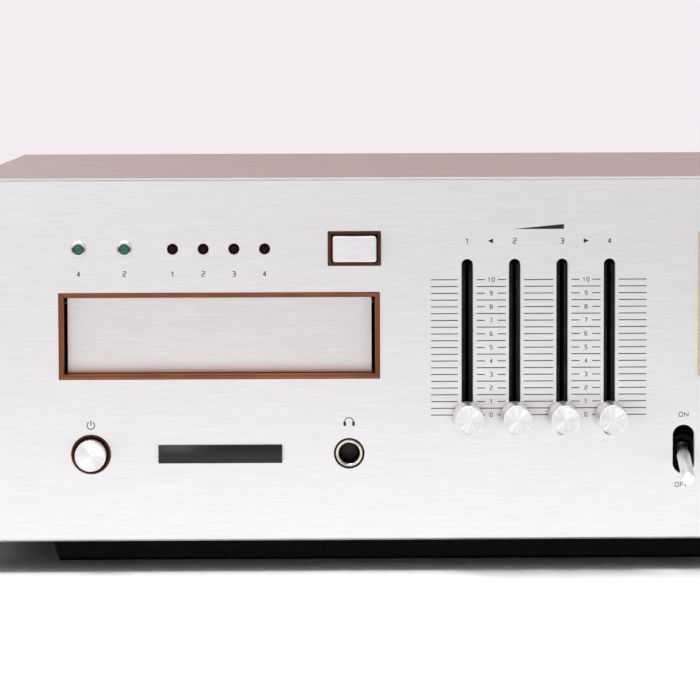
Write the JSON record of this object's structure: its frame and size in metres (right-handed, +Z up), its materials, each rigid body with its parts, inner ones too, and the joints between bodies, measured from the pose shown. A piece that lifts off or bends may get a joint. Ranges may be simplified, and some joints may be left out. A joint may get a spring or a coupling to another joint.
{
  "type": "eight-track player",
  "caption": "Low wooden-cased radio amplifier with a brushed metal front, a cartridge slot with a swinging flap, slide volume controls, a dial window and knobs.",
  "frame": {"origin": "middle of the footprint on the floor, with the controls that stand out of the front counted", "axes": "+X to the right as seen from the front, -Y out of the front panel, +Z up"},
  "size_m": [0.5, 0.3002, 0.1305],
  "materials": {
    "walnut": "satin veneer",
    "screw_steel": "zinc plated",
    "panel_aluminium": "fine horizontal brushing",
    "chassis_steel": "semi-gloss",
    "black_plastic": "matt",
    "brown_plastic": "moulded",
    "brushed_aluminium": "turned and brushed",
    "plated_steel": "zinc plated",
    "flywheel_steel": "turned",
    "bronze": "turned",
    "belt_rubber": "matt",
    "white_plastic": "moulded",
    "head_metal": "polished",
    "coil_wrap": "wrapped coil",
    "phenolic_brown": "pressed laminate",
    "chrome": "bright",
    "green_lens": "moulded lens",
    "red_lens": "moulded lens",
    "badge_black": "plain",
    "gold_anodised": "satin anodised",
    "dial_clear": "clear",
    "dial_print": "printed scale",
    "pointer_orange": "moulded",
    "board_green": "laminate with parts",
    "sink_black": "black anodised"
  },
  "bodies": {
    "cabinet": {"cabinet_top": "walnut", "cabinet_side_left": "walnut", "cabinet_side_right": "walnut", "cabinet_screws": "screw_steel", "front_panel": "panel_aluminium", "front_subchassis": "chassis_steel", "base_tray": "chassis_steel", "foot_rail_front": "black_plastic", "foot_rail_rear": "black_plastic", "rear_panel": "chassis_steel", "slot_bezel": "brown_plastic", "door_hinge_pin": "plated_steel", "cartridge_guide": "plated_steel", "deck_chassis": "plated_steel", "capstan_bearing": "bronze", "drive_motor": "plated_steel", "drive_belt": "belt_rubber", "program_solenoid": "coil_wrap", "power_liner": "brown_plastic", "program_liner": "brown_plastic", "button_switches": "phenolic_brown", "lamp_bezels": "chrome", "channel_lamps": "green_lens", "program_lamps": "red_lens", "headphone_jack": "chrome", "badge_plate": "badge_black", "slide_pots": "black_plastic", "loudness_switch": "black_plastic", "dial_bezel": "gold_anodised", "dial_glass": "dial_clear", "dial_scale": "dial_print", "tuning_capacitor": "plated_steel", "rotary_controls": "plated_steel", "main_board": "board_green", "power_transformer": "plated_steel", "heat_sink": "sink_black", "rear_terminals": "phenolic_brown", "rca_jacks": "phenolic_brown", "cord_grommet": "belt_rubber"},
    "flap": {"cartridge_door": "brushed_aluminium"},
    "power_key": {"power_button": "brushed_aluminium"},
    "program_key": {"program_button": "brushed_aluminium"},
    "slider_1": {"volume_knob_1": "brushed_aluminium"},
    "slider_2": {"volume_knob_2": "brushed_aluminium"},
    "slider_3": {"volume_knob_3": "brushed_aluminium"},
    "slider_4": {"volume_knob_4": "brushed_aluminium"},
    "lever": {"loudness_lever": "chrome"},
    "tuning": {"tuning_knob": "brushed_aluminium", "tuning_shaft": "plated_steel"},
    "drum": {"tuning_drum": "white_plastic"},
    "pointer": {"dial_pointer": "pointer_orange"},
    "selector": {"selector_knob": "brushed_aluminium"},
    "bass": {"bass_knob": "brushed_aluminium"},
    "treble": {"treble_knob": "brushed_aluminium"},
    "flywheel": {"capstan_flywheel": "flywheel_steel"},
    "pulley": {"motor_pulley": "bronze"},
    "carriage": {"head_carriage": "white_plastic", "tape_head": "head_metal"},
    "cam": {"program_cam": "white_plastic"},
    "plunger": {"solenoid_plunger": "plated_steel"}
  },
  "joints": [
    {"name": "flap_swing", "type": "hinge", "parent": "cabinet", "child": "flap", "pos_m": [-0.1667, -0.11742, 0.0894], "axis": [1, 0, 0], "range_deg": [0, 90], "stiffness_Nm_per_rad": 0.004, "springref_deg": -20.05},
    {"name": "power_push", "type": "slide", "parent": "cabinet", "child": "power_key", "axis": [0, 1, 0], "range_m": [0, 0.0035], "stiffness_N_per_m": 300, "springref_m": -0.002},
    {"name": "program_push", "type": "slide", "parent": "cabinet", "child": "program_key", "axis": [0, 1, 0], "range_m": [0, 0.003], "stiffness_N_per_m": 300, "springref_m": -0.002},
    {"name": "volume_slide_1", "type": "slide", "parent": "cabinet", "child": "slider_1", "axis": [0, 0, 1], "range_m": [0, 0.045]},
    {"name": "volume_slide_2", "type": "slide", "parent": "cabinet", "child": "slider_2", "axis": [0, 0, 1], "range_m": [0, 0.045]},
    {"name": "volume_slide_3", "type": "slide", "parent": "cabinet", "child": "slider_3", "axis": [0, 0, 1], "range_m": [0, 0.045]},
    {"name": "volume_slide_4", "type": "slide", "parent": "cabinet", "child": "slider_4", "axis": [0, 0, 1], "range_m": [0, 0.045]},
    {"name": "loudness_flip", "type": "hinge", "parent": "cabinet", "child": "lever", "pos_m": [-0.0133, -0.11892, 0.0403], "axis": [-1, 0, 0], "range_deg": [0, 24.8]},
    {"name": "drum_turn", "type": "hinge", "parent": "cabinet", "child": "drum", "pos_m": [0.11, -0.09492, 0.0665], "axis": [0, 1, 0], "range_deg": [0, 180]},
    {"name": "tuning_turn", "type": "hinge", "parent": "cabinet", "child": "tuning", "pos_m": [0.22, -0.11992, 0.0895], "axis": [0, 1, 0], "range_deg": [0, 2521]},
    {"name": "pointer_slide", "type": "slide", "parent": "cabinet", "child": "pointer", "axis": [1, 0, 0], "range_m": [0, 0.13195]},
    {"name": "selector_turn", "type": "hinge", "parent": "cabinet", "child": "selector", "pos_m": [0.055, -0.11992, 0.0394], "axis": [0, 1, 0], "range_deg": [0, 120]},
    {"name": "bass_turn", "type": "hinge", "parent": "cabinet", "child": "bass", "pos_m": [0.1, -0.11992, 0.0394], "axis": [0, 1, 0], "range_deg": [-150, 150]},
    {"name": "treble_turn", "type": "hinge", "parent": "cabinet", "child": "treble", "pos_m": [0.145, -0.11992, 0.0394], "axis": [0, 1, 0], "range_deg": [-150, 150]},
    {"name": "capstan_spin", "type": "hinge", "parent": "cabinet", "child": "flywheel", "pos_m": [-0.2, -0.03592, 0.0555], "axis": [0, 0, 1], "continuous": true},
    {"name": "pulley_spin", "type": "hinge", "parent": "cabinet", "child": "pulley", "pos_m": [-0.138, 0.02008, 0.0555], "axis": [0, 0, 1], "continuous": true},
    {"name": "cam_turn", "type": "hinge", "parent": "cabinet", "child": "cam", "pos_m": [-0.128, -0.02092, 0.0675], "axis": [0, 0, 1], "range_deg": [0, 270]},
    {"name": "head_lift", "type": "slide", "parent": "cabinet", "child": "carriage", "axis": [0, 0, 1], "range_m": [0, 0.0019]},
    {"name": "plunger_pull", "type": "slide", "parent": "cabinet", "child": "plunger", "axis": [0, 1, 0], "range_m": [0, 0.005], "stiffness_N_per_m": 60, "springref_m": -0.002}
  ],
  "couplings": [
    {"joint": "tuning_turn", "follows": "drum_turn", "ratio": 14},
    {"joint": "pointer_slide", "follows": "drum_turn", "m_per_rad": 0.042},
    {"joint": "pulley_spin", "follows": "capstan_spin", "ratio": 6},
    {"joint": "cam_turn", "follows": "head_lift", "rad_per_m": 2480}
  ]
}
